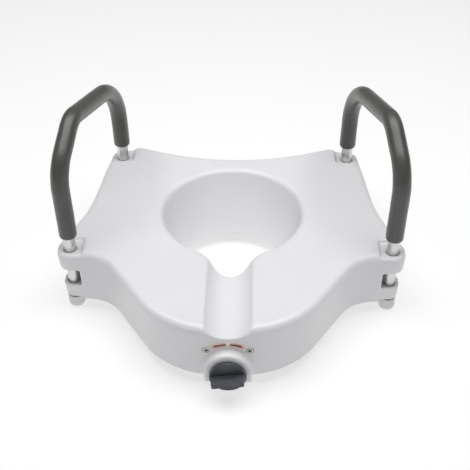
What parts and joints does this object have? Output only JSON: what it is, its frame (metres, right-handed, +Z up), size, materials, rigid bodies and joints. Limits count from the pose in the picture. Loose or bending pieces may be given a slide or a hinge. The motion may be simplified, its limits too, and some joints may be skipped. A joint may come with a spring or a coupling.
{
  "type": "raised toilet seat",
  "caption": "White raised toilet seat with an egg-shaped opening and front trough, a knob-driven rim clamp and two padded arms that lift out.",
  "frame": {"origin": "centre of the footprint, at the level of the tips of the four hand screws", "axes": "+X to the right arm (across the seat), +Y from the clamp knob to the rear edge, +Z up out of the deck"},
  "size_m": [0.5514, 0.5134, 0.3242],
  "materials": {
    "body_plastic": "satin moulded white",
    "label": "printed film",
    "pad_rubber": "matt grey rubber",
    "mechanism_plastic": "moulded grey nylon",
    "plated_steel": "zinc plated",
    "knob_plastic": "satin slate grey",
    "arm_tube_metal": "satin anodised",
    "grip_foam": "closed-cell foam",
    "hand_screw_plastic": "satin moulded white",
    "washer_rubber": "matt black fibre"
  },
  "bodies": {
    "seat": {"seat_body": "body_plastic", "direction_label": "label", "front_right_rim_pad": "pad_rubber", "front_left_rim_pad": "pad_rubber", "rear_right_rim_pad": "pad_rubber", "rear_left_rim_pad": "pad_rubber", "rear_flange": "mechanism_plastic", "flange_screws": "plated_steel", "rear_bearing_bracket": "mechanism_plastic", "bracket_screws": "plated_steel", "front_bushing": "mechanism_plastic"},
    "clamp_drive": {"clamp_knob": "knob_plastic", "knob_cross_pin": "plated_steel", "worm_screw": "plated_steel", "thrust_washer": "plated_steel", "retaining_clip": "plated_steel"},
    "clamp_jaw": {"clamp_block": "mechanism_plastic", "jaw_pad": "pad_rubber"},
    "right_arm": {"right_arm_tube": "arm_tube_metal", "right_arm_grip": "grip_foam", "right_arm_inserts": "mechanism_plastic"},
    "left_arm": {"left_arm_tube": "arm_tube_metal", "left_arm_grip": "grip_foam", "left_arm_inserts": "mechanism_plastic"},
    "front_right_washer": {"front_right_hand_washer": "washer_rubber"},
    "front_right_screw": {"front_right_hand_knob": "hand_screw_plastic", "front_right_hand_stud": "plated_steel"},
    "front_left_washer": {"front_left_hand_washer": "washer_rubber"},
    "front_left_screw": {"front_left_hand_knob": "hand_screw_plastic", "front_left_hand_stud": "plated_steel"},
    "rear_right_washer": {"rear_right_hand_washer": "washer_rubber"},
    "rear_right_screw": {"rear_right_hand_knob": "hand_screw_plastic", "rear_right_hand_stud": "plated_steel"},
    "rear_left_washer": {"rear_left_hand_washer": "washer_rubber"},
    "rear_left_screw": {"rear_left_hand_knob": "hand_screw_plastic", "rear_left_hand_stud": "plated_steel"}
  },
  "joints": [
    {"name": "knob_turn", "type": "hinge", "parent": "seat", "child": "clamp_drive", "pos_m": [0, -0.234, 0.0455], "axis": [0, 1, 0], "range_deg": [0, 2592]},
    {"name": "clamp_slide", "type": "slide", "parent": "seat", "child": "clamp_jaw", "axis": [0, -1, 0], "range_m": [0, 0.0362]},
    {"name": "right_arm_lift", "type": "slide", "parent": "seat", "child": "right_arm", "axis": [0, 0, 1], "range_m": [0, 0.125]},
    {"name": "left_arm_lift", "type": "slide", "parent": "seat", "child": "left_arm", "axis": [0, 0, 1], "range_m": [0, 0.125]},
    {"name": "front_right_screw_turn", "type": "hinge", "parent": "front_right_washer", "child": "front_right_screw", "pos_m": [0.255, -0.035, 0.013], "axis": [0, 0, -1], "range_deg": [0, 5060]},
    {"name": "front_right_screw_drop", "type": "slide", "parent": "seat", "child": "front_right_washer", "axis": [0, 0, -1], "range_m": [0, 0.0175]},
    {"name": "front_left_screw_turn", "type": "hinge", "parent": "front_left_washer", "child": "front_left_screw", "pos_m": [-0.255, -0.035, 0.013], "axis": [0, 0, -1], "range_deg": [0, 5060]},
    {"name": "front_left_screw_drop", "type": "slide", "parent": "seat", "child": "front_left_washer", "axis": [0, 0, -1], "range_m": [0, 0.0175]},
    {"name": "rear_right_screw_turn", "type": "hinge", "parent": "rear_right_washer", "child": "rear_right_screw", "pos_m": [0.201, 0.229, 0.013], "axis": [0, 0, -1], "range_deg": [0, 5060]},
    {"name": "rear_right_screw_drop", "type": "slide", "parent": "seat", "child": "rear_right_washer", "axis": [0, 0, -1], "range_m": [0, 0.0175]},
    {"name": "rear_left_screw_turn", "type": "hinge", "parent": "rear_left_washer", "child": "rear_left_screw", "pos_m": [-0.201, 0.229, 0.013], "axis": [0, 0, -1], "range_deg": [0, 5060]},
    {"name": "rear_left_screw_drop", "type": "slide", "parent": "seat", "child": "rear_left_washer", "axis": [0, 0, -1], "range_m": [0, 0.0175]}
  ],
  "couplings": [
    {"joint": "clamp_slide", "follows": "knob_turn", "m_per_rad": 0.00079577},
    {"joint": "front_right_screw_turn", "follows": "front_right_screw_drop", "rad_per_m": 5026.5},
    {"joint": "front_left_screw_turn", "follows": "front_left_screw_drop", "rad_per_m": 5026.5},
    {"joint": "rear_right_screw_turn", "follows": "rear_right_screw_drop", "rad_per_m": 5026.5},
    {"joint": "rear_left_screw_turn", "follows": "rear_left_screw_drop", "rad_per_m": 5026.5}
  ]
}
